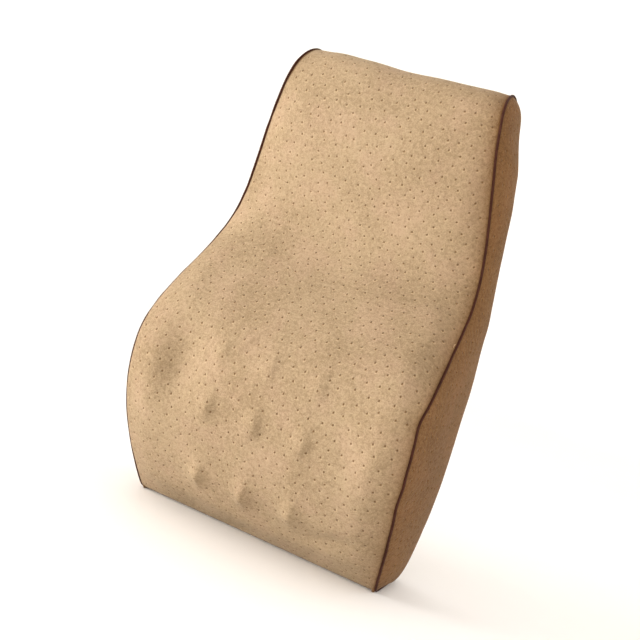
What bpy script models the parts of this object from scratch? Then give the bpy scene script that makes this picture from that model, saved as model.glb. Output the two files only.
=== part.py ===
"""Lumbar support cushion: a perforated suede cover with piped side panels round a moulded foam core.

Frame: +Z runs up the spine, the front faces -Y and the back +Y. The origin is the centre of the flat base.
All sizes are in metres.
"""
import math

import bmesh
import bpy
import numpy as np
from mathutils import Matrix, Vector

# Overall form
HEIGHT = 0.480
BASE_WIDTH = 0.264
LUMBAR_WIDTH = 0.288
HEAD_WIDTH = 0.206
WIDEST_HEIGHT = 0.125
BASE_DEPTH = 0.069
LUMBAR_DEPTH = 0.146
LUMBAR_HEIGHT = 0.155
WAIST_DEPTH = 0.055
WAIST_HEIGHT = 0.310
HEAD_DEPTH = 0.080
BACK_CORNER_RADIUS = 0.014
FRONT_CROWN = 0.004
SIDE_CROWN = 0.011
BASE_FADE_HEIGHT = 0.040

# Materials' thicknesses and fits
GAP = 0.0003
FABRIC = 0.0017
LINER = 0.0006
PIPING_RADIUS = 0.0014
SEAM_INSET = max(FABRIC, PIPING_RADIUS) + GAP

# Zip
ZIP_HEIGHT = 0.105
ZIP_MARGIN = 0.004
ZIP_OPENING = 0.013
TAPE = 0.0005
TAPE_WIDTH = 0.015
TAPE_PART = 0.0018
TAPE_TAIL = 0.0186
CHAIN_THICKNESS = 0.0018
TOOTH_PITCH = 0.0030
TOOTH_WIDTH = 0.0011
TOOTH_REACH = 0.0005
SPINE_INNER = 0.0008
SPINE_OUTER = 0.0021
STOP_LENGTH = 0.0022
STOP_WIDTH = 0.0020
SLIDER_LENGTH = 0.0100
SLIDER_WIDTH = 0.0096
SLIDER_TOP = 0.0009
SLIDER_FLOOR = 0.0007
RAIL = 0.0008
WEDGE_LENGTH = 0.0022
WEDGE_WIDTH = 0.0011
BRIDGE_LENGTH = 0.0054
BRIDGE_WIDTH = 0.0020
BRIDGE_BAR = 0.0009
BRIDGE_POST = 0.0010
BRIDGE_OPENING = 0.0023
TAB_THICKNESS = 0.0012
TAB_WIDTH = 0.0078
TAB_LENGTH = 0.0270
TAB_WINDOW_WIDTH = 0.0032
TAB_END_RADIUS = 0.0028
TAB_CLEARANCE = 0.0004
RUNNING_GAP = 0.0005

# Massage nubs
NUB_HEIGHTS = (0.048, 0.115, 0.172)
NUB_COLUMN_PITCH = 0.050
NUB_COLUMNS = 3
NUB_FLANGE_RADIUS = 0.011
NUB_FLANGE = 0.003
NUB_RADIUS = 0.0075
NUB_HEIGHT = 0.015
NUB_SINK = 0.0015
NUB_STEPS = 12
SHARP_ANGLE = math.radians(40)

# Values that follow
FACET_GAP = 1.3 * GAP  # a gap that stays open between two differently faceted curves
TOP_RADIUS = HEAD_DEPTH / 2
SHOULDER_HEIGHT = HEIGHT - TOP_RADIUS
BACK_Y = (BASE_DEPTH - BACK_CORNER_RADIUS) / 2 + BACK_CORNER_RADIUS
TAPE_OUTER_Y = BACK_Y - FABRIC - GAP
TAPE_INNER_Y = TAPE_OUTER_Y - TAPE
LINER_INSET = FABRIC + GAP + TAPE + FACET_GAP
SLIDER_FLOOR_Y = TAPE_INNER_Y - GAP
CORE_INSET = FABRIC + GAP + TAPE + GAP + SLIDER_FLOOR + FACET_GAP
LINER_OPENING = ZIP_OPENING + 0.005
BRIDGE_BASE_Y = TAPE_OUTER_Y + CHAIN_THICKNESS + GAP + SLIDER_TOP
PULL_PIVOT_Y = BRIDGE_BASE_Y + BRIDGE_OPENING / 2
TAB_WINDOW = math.hypot(BRIDGE_LENGTH / 2, BRIDGE_OPENING / 2 + BRIDGE_BAR) + TAB_CLEARANCE

# Mesh density
CORNER_ROWS = 3
ROW_PITCH = 0.0285
TOP_ROWS = 4
BASE_COLUMNS = 4
WRAP_COLUMNS = 6
WELD = 0.00001

Z_STEP = 0.0005


def make_material(name, color, roughness, metallic=0.0):
    material = bpy.data.materials.new(name)
    material.use_nodes = True
    shader = material.node_tree.nodes["Principled BSDF"]
    shader.inputs["Base Color"].default_value = (*color, 1.0)
    shader.inputs["Roughness"].default_value = roughness
    shader.inputs["Metallic"].default_value = metallic
    return material


def add_object(name, data, collection, material=None):
    item = bpy.data.objects.new(name, data)
    collection.objects.link(item)
    if material:
        data.materials.append(material)
    return item


def front_depth(z):
    """Depth of the front: a quarter sine out to the lumbar bulge, then two cosine eases."""
    if z < LUMBAR_HEIGHT:
        rise = math.sin(math.pi / 2 * max(z, 0.0) / LUMBAR_HEIGHT)
        return BASE_DEPTH + (LUMBAR_DEPTH - BASE_DEPTH) * rise
    if z < WAIST_HEIGHT:
        share = (z - LUMBAR_HEIGHT) / (WAIST_HEIGHT - LUMBAR_HEIGHT)
        return LUMBAR_DEPTH + (WAIST_DEPTH - LUMBAR_DEPTH) * (1 - math.cos(math.pi * share)) / 2
    share = min((z - WAIST_HEIGHT) / (SHOULDER_HEIGHT - WAIST_HEIGHT), 1.0)
    return WAIST_DEPTH + (HEAD_DEPTH - WAIST_DEPTH) * (1 - math.cos(math.pi * share)) / 2


def half_width(z):
    """Half the width between the seams: widest at the lumbar zone, narrower at the base and head."""
    if z < WIDEST_HEIGHT:
        rise = math.sin(math.pi / 2 * max(z, 0.0) / WIDEST_HEIGHT)
        return (BASE_WIDTH + (LUMBAR_WIDTH - BASE_WIDTH) * rise) / 2
    share = (z - WIDEST_HEIGHT) / (HEIGHT - WIDEST_HEIGHT)
    return (LUMBAR_WIDTH - (LUMBAR_WIDTH - HEAD_WIDTH) * (1 - math.cos(math.pi / 2 * share))) / 2


def front_normal(z):
    slope = (front_depth(z + Z_STEP) - front_depth(z - Z_STEP)) / (2 * Z_STEP)
    return Vector((-1.0, -slope)).normalized()


def front_point(z):
    return Vector((BACK_Y - front_depth(z), z)), front_normal(z)


def base_corner():
    """The corner where the base meets the front, with the mitred direction that insets both faces alike."""
    normal = front_normal(Z_STEP)
    down = Vector((0.0, -1.0))
    return Vector((BACK_Y - front_depth(0.0), 0.0)), (normal + down) / (1 + normal.dot(down))


def back_point(z):
    return Vector((BACK_Y, z)), Vector((1.0, 0.0))


def arc_point(center, radius, angle):
    normal = Vector((math.cos(angle), math.sin(angle)))
    return center + radius * normal, normal


def even_heights(low, high):
    """Heights from low to high in equal steps of no more than the row pitch."""
    steps = math.ceil((high - low) / ROW_PITCH)
    return [float(z) for z in np.linspace(low, high, steps + 1)]


def heights_below(opening):
    return even_heights(BACK_CORNER_RADIUS, ZIP_HEIGHT - opening / 2)[1:]


def row_heights(opening):
    """Heights of the rows from the back's lower corner to the shoulder, with rows on an opening's edges."""
    return heights_below(opening) + even_heights(ZIP_HEIGHT + opening / 2, SHOULDER_HEIGHT)


def slot_row(opening):
    """Number of the row on an opening's lower edge."""
    return CORNER_ROWS + len(heights_below(opening))


def back_corner(row):
    center = Vector((BACK_Y - BACK_CORNER_RADIUS, BACK_CORNER_RADIUS))
    return arc_point(center, BACK_CORNER_RADIUS, math.pi / 2 * (row / CORNER_ROWS - 1))


def head_point(row, side):
    center = Vector((BACK_Y - TOP_RADIUS, SHOULDER_HEIGHT))
    angle = math.pi / 2 * row / TOP_ROWS
    return arc_point(center, TOP_RADIUS, angle if side > 0 else math.pi - angle)


def outline_rows(opening):
    """Matching points of the back and the front, from the base up to the crest, each with its normal."""
    heights = row_heights(opening)
    back = [back_corner(row) for row in range(CORNER_ROWS + 1)]
    front = [base_corner()]
    front += [front_point(BACK_CORNER_RADIUS * row / CORNER_ROWS) for row in range(1, CORNER_ROWS + 1)]
    back += [back_point(z) for z in heights]
    front += [front_point(z) for z in heights]
    back += [head_point(row, 1) for row in range(1, TOP_ROWS + 1)]
    front += [head_point(row, -1) for row in range(1, TOP_ROWS + 1)]
    return back, front


def base_row(back, front):
    """Points along the flat base between the back's lower corner and the front."""
    shares = [column / BASE_COLUMNS for column in range(1, BASE_COLUMNS)]
    (start, start_normal), (end, end_normal) = back[0], front[0]
    return [(start.lerp(end, share), start_normal.lerp(end_normal, share)) for share in shares]


def base_fade(height):
    """Zero at the base, rising to one: it keeps every crown off the flat base."""
    return math.sin(math.pi / 2 * min(max(height, 0.0) / BASE_FADE_HEIGHT, 1.0))


def base_lift(height):
    """How far the piping is raised towards the base, so that the cushion stands on its flat base."""
    return PIPING_RADIUS * max(1 - height / BACK_CORNER_RADIUS, 0.0)


def inset_point(point, inset):
    place, normal = point
    return place - inset * normal


def add_grid(mesh, rows, flip=False):
    """Join a grid of points, given row by row, with four-sided faces."""
    verts = [[mesh.verts.new(point) for point in row] for row in rows]
    for low, high in zip(verts, verts[1:]):
        for a, b, c, d in zip(low, low[1:], high[1:], high):
            mesh.faces.new((d, c, b, a) if flip else (a, b, c, d))


def finish_mesh(mesh, name):
    bmesh.ops.remove_doubles(mesh, verts=mesh.verts, dist=WELD)
    loose = [edge for edge in mesh.edges if not edge.link_faces]
    bmesh.ops.delete(mesh, geom=loose, context="EDGES")
    data = bpy.data.meshes.new(name)
    mesh.to_mesh(data)
    mesh.free()
    data.shade_smooth()
    data.set_sharp_from_angle(angle=SHARP_ANGLE)
    return data


def band_rows(path, inset, side_inset):
    """The band round the cushion: the outline carried across the width, crowned where it faces forwards."""
    rows = []
    for point in path:
        place = inset_point(point, inset)
        reach = half_width(place.y) - side_inset
        row = []
        for column in range(WRAP_COLUMNS + 1):
            across = 2 * column / WRAP_COLUMNS - 1
            crown = FRONT_CROWN * base_fade(point[0].y) * max(-point[1].x, 0.0) * (1 - across ** 2)
            crowned = place + crown * point[1]
            row.append((across * reach, crowned.x, crowned.y))
        rows.append(row)
    return rows


def side_rows(back, front, inset, side_inset, side, lift=0.0):
    """A side: straight across from back to front along each row, and crowned outwards between its edges."""
    rows = []
    for back_item, front_item in zip(back, front):
        rear = inset_point(back_item, inset)
        fore = inset_point(front_item, inset)
        depth = (rear - fore).length
        row = []
        for column in range(BASE_COLUMNS + 1):
            share = column / BASE_COLUMNS
            place = rear.lerp(fore, share)
            crown = SIDE_CROWN * base_fade(place.y - inset) * depth / LUMBAR_DEPTH * 4 * share * (1 - share)
            raised = place.y + lift * base_lift(place.y - inset)
            row.append((side * (half_width(place.y) - side_inset + crown), place.x, raised))
        rows.append(row)
    return rows


def body_mesh(name, inset, opening, is_open):
    """The whole form set in by a distance. An open one keeps a slot across the back for the foam to go in."""
    back, front = outline_rows(opening)
    base = base_row(back, front)
    mesh = bmesh.new()
    edge = slot_row(opening)
    loop = back[edge::-1] + base + front + back[-2:edge:-1]
    if not is_open:
        loop.append(back[edge])
    add_grid(mesh, band_rows(loop, inset, inset))
    for side in (-1, 1):
        add_grid(mesh, side_rows(back, front, inset, inset, side), flip=side > 0)
    return finish_mesh(mesh, name)


def add_solidify(item, thickness):
    wall = item.modifiers.new("wall", "SOLIDIFY")
    wall.thickness = thickness
    wall.offset = -1.0
    wall.use_even_offset = True
    wall.thickness_clamp = 0.0


def make_wrap(collection, material):
    """The band of suede, from the upper edge of the zip over the head, down the front and under the base."""
    back, front = outline_rows(ZIP_OPENING)
    base = base_row(back, front)
    edge = slot_row(ZIP_OPENING)
    path = back[edge::-1] + base + front + back[-2:edge:-1]
    mesh = bmesh.new()
    add_grid(mesh, band_rows(path, 0.0, SEAM_INSET))
    item = add_object("wrap_panel", finish_mesh(mesh, "wrap_panel"), collection, material)
    add_solidify(item, FABRIC)


def make_side(name, side, collection, material):
    back, front = outline_rows(ZIP_OPENING)
    mesh = bmesh.new()
    add_grid(mesh, side_rows(back, front, SEAM_INSET, 0.0, side, lift=1.0), flip=side > 0)
    item = add_object(name, finish_mesh(mesh, name), collection, material)
    add_solidify(item, FABRIC)


def make_piping(name, side, collection, material):
    """A round cord that runs round the seam between a side panel and the band."""
    back, front = outline_rows(ZIP_OPENING)
    loop = back[::-1] + base_row(back, front) + front[:-1]
    curve = bpy.data.curves.new(name, "CURVE")
    curve.dimensions = "3D"
    curve.bevel_depth = PIPING_RADIUS
    curve.bevel_resolution = 1
    spline = curve.splines.new("POLY")
    spline.points.add(len(loop) - 1)
    for spot, (place, _) in zip(spline.points, loop):
        spot.co = (side * half_width(place.y), place.x, place.y + base_lift(place.y), 1.0)
    spline.use_cyclic_u = True
    add_object(name, curve, collection, material)


def nub_profile(grow):
    """Half outline of a nub, from its crest to its foot: a dome on a stem over a round flange."""
    radius = NUB_RADIUS + grow
    flange = NUB_FLANGE_RADIUS + grow
    flange_top = NUB_FLANGE + grow
    dome = [(radius * math.sin(a), NUB_HEIGHT - NUB_RADIUS + radius * math.cos(a))
            for a in (0.0, math.pi / 6, math.pi / 3, math.pi / 2)]
    return dome + [(radius, flange_top), (flange, flange_top), (flange, -grow), (0.0, -grow)]


def add_turned(name, profile, collection, material=None):
    """Turn a half outline, given as radius and height, about its axis."""
    mesh = bpy.data.meshes.new(name)
    verts = [(radius, 0.0, height) for radius, height in profile]
    mesh.from_pydata(verts, [(i, i + 1) for i in range(len(verts) - 1)], [])
    item = add_object(name, mesh, collection, material)
    turn = item.modifiers.new("turn", "SCREW")
    turn.steps = NUB_STEPS
    turn.render_steps = NUB_STEPS
    turn.use_merge_vertices = True
    turn.merge_threshold = WELD
    return item


def nub_matrix(height, column):
    """Stand a nub on the foam's front, with its crest just under the foam's surface."""
    place, normal = front_point(height)
    x = (column - (NUB_COLUMNS - 1) / 2) * NUB_COLUMN_PITCH
    across = x / (half_width(height) - CORE_INSET)
    crown = FRONT_CROWN * base_fade(height) * max(-normal.x, 0.0) * (1 - across ** 2)
    foot = place + (crown - CORE_INSET - NUB_SINK - NUB_HEIGHT) * normal
    turn = Vector((0.0, normal.x, normal.y)).to_track_quat("Z", "X").to_matrix().to_4x4()
    return Matrix.Translation((x, foot.x, foot.y)) @ turn


def make_nubs(collection, material):
    for row, height in enumerate(NUB_HEIGHTS):
        for column in range(NUB_COLUMNS):
            nub = add_turned(f"massage_nub_{row + 1}_{column + 1}", nub_profile(0.0), collection, material)
            nub.matrix_world = nub_matrix(height, column)


def make_core(collection, cutters, material):
    """The foam block, with a pocket of each nub's own shape opening on its front."""
    mesh = body_mesh("foam_core", CORE_INSET, LINER_OPENING, False)
    core = add_object("foam_core", mesh, collection, material)
    for row, height in enumerate(NUB_HEIGHTS):
        for column in range(NUB_COLUMNS):
            profile = nub_profile(GAP)
            throat = NUB_RADIUS + GAP
            profile[:3] = [(0.0, NUB_HEIGHT + NUB_RADIUS), (throat, NUB_HEIGHT + NUB_RADIUS)]
            cutter = add_turned(f"pocket_{row + 1}_{column + 1}", profile, cutters)
            cutter.matrix_world = nub_matrix(height, column)
            cutter.hide_render = True
            cutter.display_type = "WIRE"
            cut = core.modifiers.new(cutter.name, "BOOLEAN")
            cut.operation = "DIFFERENCE"
            cut.object = cutter


def make_liner(collection, material):
    data = body_mesh("inner_liner", LINER_INSET, LINER_OPENING, True)
    item = add_object("inner_liner", data, collection, material)
    add_solidify(item, LINER)


def box_data(name, low, high):
    mesh = bmesh.new()
    size = Vector(high) - Vector(low)
    middle = (Vector(high) + Vector(low)) / 2
    bmesh.ops.create_cube(mesh, size=1.0, matrix=Matrix.Translation(middle) @ Matrix.Diagonal((*size, 1.0)))
    data = bpy.data.meshes.new(name)
    mesh.to_mesh(data)
    mesh.free()
    return data


def add_box(name, low, high, collection, material=None):
    return add_object(name, box_data(name, low, high), collection, material)


def tape_reach():
    """Half length of a zip tape: it ends just short of the side seams at the zip's height."""
    return half_width(ZIP_HEIGHT) - SEAM_INSET - ZIP_MARGIN


def chain_half():
    """Half length of the closed teeth: each tape has a bare tail beyond them."""
    return tape_reach() - TAPE_TAIL


def slider_x():
    """The slider's middle when the zip is closed: its wedge is just past the last tooth."""
    return chain_half() - SLIDER_LENGTH / 2 + WEDGE_LENGTH + GAP


def span(side, near, far):
    """Low and high heights of something that lies between two distances above or below the zip's middle."""
    return sorted((ZIP_HEIGHT + side * near, ZIP_HEIGHT + side * far))


def make_tape(name, side, collection, material):
    low, high = span(side, TAPE_PART / 2, TAPE_PART / 2 + TAPE_WIDTH)
    reach = tape_reach()
    add_box(name, (-reach, TAPE_INNER_Y, low), (reach, TAPE_OUTER_Y, high), collection, material)


def chain_outline(side):
    """Outline of one row of teeth: a straight spine whose teeth reach over the zip's middle."""
    start = -chain_half()
    end = chain_half() - SLIDER_LENGTH / 2
    first = start + TOOTH_PITCH * (0.5 if side > 0 else 1.0)
    count = int((end - first) / TOOTH_PITCH)
    points = [(start, SPINE_OUTER), (start, SPINE_INNER)]
    for tooth in range(count):
        left = first + tooth * TOOTH_PITCH
        points += [(left, SPINE_INNER), (left, -TOOTH_REACH)]
        points += [(left + TOOTH_WIDTH, -TOOTH_REACH), (left + TOOTH_WIDTH, SPINE_INNER)]
    points += [(end, SPINE_INNER), (end, SPINE_OUTER)]
    return [(x, side * z) for x, z in points]


def add_plate(name, outlines, thickness, matrix, collection, material):
    """A flat plate with holes: closed outlines filled and thickened to both sides of their plane."""
    curve = bpy.data.curves.new(name, "CURVE")
    curve.dimensions = "2D"
    curve.fill_mode = "BOTH"
    curve.extrude = thickness / 2
    for outline in outlines:
        spline = curve.splines.new("POLY")
        spline.points.add(len(outline) - 1)
        for spot, (x, y) in zip(spline.points, outline):
            spot.co = (x, y, 0.0, 1.0)
        spline.use_cyclic_u = True
    item = add_object(name, curve, collection, material)
    item.matrix_world = matrix
    return item


def upright(x, y, z):
    """Stand a plate's plane upright, facing the back, with its middle at a place."""
    return Matrix.Translation((x, y, z)) @ Matrix.Rotation(math.pi / 2, 4, "X")


def make_chain(name, side, collection, material):
    middle = TAPE_OUTER_Y + GAP + (CHAIN_THICKNESS - GAP) / 2
    place = upright(0.0, middle, ZIP_HEIGHT)
    add_plate(name, [chain_outline(side)], CHAIN_THICKNESS - GAP, place, collection, material)


def make_stops(collection, material):
    low_y = TAPE_OUTER_Y + GAP
    high_y = TAPE_OUTER_Y + CHAIN_THICKNESS
    start = slider_x() + SLIDER_LENGTH / 2 + RUNNING_GAP
    for name, side in (("zip_top_stop_upper", 1), ("zip_top_stop_lower", -1)):
        low, high = span(side, SPINE_INNER, SPINE_INNER + STOP_WIDTH)
        add_box(name, (start, low_y, low), (start + STOP_LENGTH, high_y, high), collection, material)
    end = -chain_half() - GAP
    low, high = ZIP_HEIGHT - SPINE_OUTER, ZIP_HEIGHT + SPINE_OUTER
    add_box("zip_bottom_stop", (end - STOP_LENGTH, low_y, low), (end, high_y, high), collection, material)


def slider_boxes():
    """The slider's plates, rails, wedge and bridge, each as its low and high corner."""
    rear = slider_x() - SLIDER_LENGTH / 2
    nose = slider_x() + SLIDER_LENGTH / 2
    wide = SLIDER_WIDTH / 2
    top = BRIDGE_BASE_Y
    under_top = top - SLIDER_TOP
    floor_low = SLIDER_FLOOR_Y - SLIDER_FLOOR
    rail_low = TAPE_OUTER_Y + GAP
    bar_low = top + BRIDGE_OPENING
    span_half = BRIDGE_LENGTH / 2
    middle = ZIP_HEIGHT
    bridge_half = BRIDGE_WIDTH / 2
    boxes = {
        "floor": ((rear, floor_low, middle - wide), (nose, SLIDER_FLOOR_Y, middle + wide)),
        "wedge": ((nose - WEDGE_LENGTH, SLIDER_FLOOR_Y - SLIDER_FLOOR / 2, middle - WEDGE_WIDTH / 2),
                  (nose - WEDGE_LENGTH / 4, top - SLIDER_TOP / 2, middle + WEDGE_WIDTH / 2)),
        "bar": ((slider_x() - span_half, bar_low, middle - bridge_half),
                (slider_x() + span_half, bar_low + BRIDGE_BAR, middle + bridge_half)),
    }
    for name, side in (("rail_upper", 1), ("rail_lower", -1)):
        low, high = span(side, wide - RAIL, wide)
        boxes[name] = ((rear, rail_low, low), (nose, under_top + SLIDER_TOP / 2, high))
    for name, end in (("post_rear", -1), ("post_nose", 1)):
        low, high = sorted((slider_x() + end * span_half, slider_x() + end * (span_half - BRIDGE_POST)))
        boxes[name] = ((low, top - SLIDER_TOP / 2, middle - bridge_half),
                       (high, bar_low + BRIDGE_BAR / 2, middle + bridge_half))
    return boxes


def make_slider(collection, cutters, material):
    """Two plates round the teeth, joined by the wedge that parts them, with a bridge for the pull tab."""
    half = SLIDER_LENGTH / 2
    wide = SLIDER_WIDTH / 2
    low = (slider_x() - half, BRIDGE_BASE_Y - SLIDER_TOP, ZIP_HEIGHT - wide)
    high = (slider_x() + half, BRIDGE_BASE_Y, ZIP_HEIGHT + wide)
    slider = add_box("zip_slider", low, high, collection, material)
    for name, (low, high) in slider_boxes().items():
        block = add_box(f"slider_{name}", low, high, cutters)
        block.hide_render = True
        block.display_type = "WIRE"
        join = slider.modifiers.new(name, "BOOLEAN")
        join.operation = "UNION"
        join.object = block


def rounded_end(x, half, radius, steps=3):
    """The two round corners of a tab's free end, from its lower edge to its upper edge."""
    points = []
    for side, start in ((-1, -math.pi / 2), (1, math.pi)):
        for step in range(steps + 1):
            angle = start - math.pi / 2 * step / steps
            along = x + radius + radius * math.cos(angle)
            points.append((along, side * (half - radius) + radius * math.sin(angle)))
    return points


def make_pull_tab(collection, material):
    """A flat tab whose end bar runs under the slider's bridge. It rests pointing back over the teeth."""
    half = TAB_WIDTH / 2
    bar = TAB_THICKNESS / 2
    window = TAB_WINDOW_WIDTH / 2
    outer = [(bar, half), (bar, -half)]
    outer += rounded_end(bar - TAB_LENGTH, half, TAB_END_RADIUS)
    hole = [(-bar, window), (-TAB_WINDOW, window), (-TAB_WINDOW, -window), (-bar, -window)]
    place = upright(slider_x(), PULL_PIVOT_Y, ZIP_HEIGHT)
    add_plate("zip_pull_tab", [outer, hole], TAB_THICKNESS, place, collection, material)


def clear_scene():
    for item in list(bpy.data.objects):
        bpy.data.objects.remove(item, do_unlink=True)


def add_collection(name):
    collection = bpy.data.collections.new(name)
    bpy.context.scene.collection.children.link(collection)
    return collection


def build():
    clear_scene()
    parts = add_collection("lumbar_support_cushion")
    cutters = add_collection("cutters")
    suede = make_material("suede", (0.50, 0.36, 0.21), 0.9)
    trim = make_material("piping", (0.09, 0.035, 0.02), 0.7)
    foam = make_material("foam", (0.85, 0.80, 0.66), 0.95)
    knit = make_material("liner_knit", (0.80, 0.79, 0.75), 0.9)
    rubber = make_material("nub_rubber", (0.16, 0.15, 0.14), 0.55)
    tape = make_material("zip_tape", (0.33, 0.22, 0.12), 0.9)
    nylon = make_material("zip_nylon", (0.28, 0.18, 0.10), 0.45)
    metal = make_material("zip_metal", (0.42, 0.33, 0.22), 0.3, 1.0)
    make_wrap(parts, suede)
    for word, side in (("left", -1), ("right", 1)):
        make_side(f"side_panel_{word}", side, parts, suede)
        make_piping(f"piping_{word}", side, parts, trim)
    make_liner(parts, knit)
    make_core(parts, cutters, foam)
    make_nubs(parts, rubber)
    for word, side in (("upper", 1), ("lower", -1)):
        make_tape(f"zip_tape_{word}", side, parts, tape)
        make_chain(f"zip_teeth_{word}", side, parts, nylon)
    make_stops(parts, metal)
    make_slider(parts, cutters, metal)
    make_pull_tab(parts, metal)
    bpy.context.view_layer.update()


build()
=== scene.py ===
"""Lumbar support cushion: the looks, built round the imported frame.

The cover is perforated suede, drawn tight over a moulded foam block with nine massage nubs, and piped along
its side seams. Everything is in metres in the frame's own axes: +Z up the spine, -Y the front, +Y the back.
"""
import math
from functools import lru_cache

import bpy
import numpy as np
from mathutils import Matrix, Vector
from mathutils.kdtree import KDTree


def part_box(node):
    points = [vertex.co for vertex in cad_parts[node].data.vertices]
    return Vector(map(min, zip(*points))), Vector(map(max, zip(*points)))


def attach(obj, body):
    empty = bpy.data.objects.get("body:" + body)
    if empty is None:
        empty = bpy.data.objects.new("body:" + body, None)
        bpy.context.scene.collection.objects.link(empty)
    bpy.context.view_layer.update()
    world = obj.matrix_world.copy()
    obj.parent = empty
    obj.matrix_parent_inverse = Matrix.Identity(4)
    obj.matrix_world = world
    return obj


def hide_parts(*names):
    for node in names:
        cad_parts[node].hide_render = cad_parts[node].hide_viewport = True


bl_info = {
    "name": "Lumbar Support Cushion",
    "version": (1, 0, 0),
    "blender": (4, 5, 0),
    "location": "View3D > Sidebar > Cushion",
    "description": "Builds the perforated suede cover, piping and zip of a lumbar support cushion",
    "category": "Add Mesh",
}

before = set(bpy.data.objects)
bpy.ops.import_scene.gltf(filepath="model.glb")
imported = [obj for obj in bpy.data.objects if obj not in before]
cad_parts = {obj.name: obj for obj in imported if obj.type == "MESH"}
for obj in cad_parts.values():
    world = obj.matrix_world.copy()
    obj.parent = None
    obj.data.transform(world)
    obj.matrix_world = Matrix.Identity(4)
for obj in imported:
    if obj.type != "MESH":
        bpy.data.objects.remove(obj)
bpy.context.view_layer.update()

WRAP_HIGH = Vector(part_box("wrap_panel")[1])
UPPER_TAPE_LOW = Vector(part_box("zip_tape_upper")[0])
LOWER_TAPE_HIGH = Vector(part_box("zip_tape_lower")[1])
TEETH_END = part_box("zip_teeth_upper")[1][0]
BODY = "cushion"

NUB_ROWS = 3
NUB_COLUMNS = 3
NUB_SHARE = 0.75  # share of the cover's own shift that a nub follows
ROW_STRENGTH = (0.0064, 0.0042, 0.0026)  # how far the nubs of each row lift the cover, lowest row first
COLUMN_STRENGTH = (1.0, 1.10, 1.0)
SIMULATED_SHARE = 0.45  # share of the cover's swell that the simulation gives; a formula gives the rest
OUTLINE_GAP = 0.0005  # between the two ends of a closed outline, behind the zip
OUTLINE_STEP = 0.0005
HOLE_MARGIN = 0.005  # no perforation lies nearer a side seam
SLOT_MARGIN = 0.012  # nor nearer the zip's slot
NO_HOLE = 0.01  # offset kept where the cloth has no perforation
TUCK = 0.0011  # how deep the sewing draws the cloth in at a seam
TUCK_REACH = 0.0025  # distance from the seam over which it does

# Creases of the front: height (a furrow's is negative), start and end as (x, z), and width.
CREASES = (
    (0.0010, (-0.045, 0.168), (-0.016, 0.204), 0.0022),
    (-0.0009, (-0.040, 0.166), (-0.012, 0.200), 0.0020),
    (-0.0024, (0.050, 0.038), (0.125, 0.056), 0.0050),
    (0.0014, (0.055, 0.052), (0.120, 0.070), 0.0060),
    (-0.0010, (-0.100, 0.052), (-0.062, 0.046), 0.0035),
    (-0.0008, (-0.040, 0.080), (-0.010, 0.066), 0.0030),
    (-0.0014, (-0.050, 0.004), (0.020, 0.010), 0.0030),
)


def metres(label, text, default):
    return bpy.props.FloatProperty(name=label, description=text, default=default, unit="LENGTH", precision=4)


def colour(label, text, default):
    return bpy.props.FloatVectorProperty(name=label, description=text, default=default, subtype="COLOR",
                                         size=3, min=0.0, max=1.0)


class CUSHION_PG_form(bpy.types.PropertyGroup):
    """The form between the seams, as the frame has it."""
    height: metres("Height", "Base to crest", WRAP_HIGH.z)
    back: metres("Back", "Y of the flat back", WRAP_HIGH.y)
    piping_radius: metres("Piping radius", "Radius of the piping cord", 0.0012)
    base_width: metres("Base width", "Between the seams at the base", 0.264)
    lumbar_width: metres("Lumbar width", "Between the seams at the widest", 0.288)
    head_width: metres("Head width", "Between the seams at the crest", 0.206)
    widest_height: metres("Widest height", "Height of the widest part", 0.125)
    base_depth: metres("Base depth", "Back to front at the base", 0.069)
    lumbar_depth: metres("Lumbar depth", "Back to front at the bulge", 0.146)
    lumbar_height: metres("Lumbar height", "Height of the bulge", 0.155)
    waist_depth: metres("Waist depth", "Back to front at the waist", 0.055)
    waist_height: metres("Waist height", "Height of the waist", 0.310)
    head_depth: metres("Head depth", "Back to front at the head", 0.080)
    back_corner: metres("Back corner", "Radius between base and back", 0.014)
    side_crown: metres("Side crown", "How far a side panel bulges at the lumbar height", 0.011)
    zip_height: metres("Zip height", "Height of the zip's middle", (UPPER_TAPE_LOW.z + LOWER_TAPE_HIGH.z) / 2)
    zip_opening: metres("Zip opening", "Height of the slot that shows the zip", 0.013)


class CUSHION_PG_cover(bpy.types.PropertyGroup):
    """How the suede lies over the foam."""
    grid: metres("Grid", "Spacing of the cover's mesh", 0.0014)
    back_grid: metres("Back grid", "Row spacing on the back", 0.0020)
    cell: metres("Cell", "Cell size of the simulated skin", 0.0055)
    cap: metres("Cap", "Most that a point of the simulated skin may rise", 0.005)
    fabric: metres("Fabric", "Thickness of the bonded suede", 0.0017)
    swell: metres("Swell", "How far the front swells past its seams", 0.0080)
    swell_reach: metres("Swell reach", "Distance from a seam over which the cover swells", 0.010)
    roll: metres("Roll", "How far the cloth rolls sideways over the left seam", 0.0024)
    dish: metres("Dish", "Depth of the hollow between the lumbar wings", 0.010)
    hole_pitch: metres("Hole pitch", "Spacing of the perforations along a row", 0.0122)
    hole_row: metres("Hole rows", "Spacing of the rows of perforations", 0.0098)
    hole_radius: metres("Hole radius", "Radius of a perforation", 0.0011)
    hole_depth: metres("Hole depth", "Depth of the dimple at a perforation", 0.0006)


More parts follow.
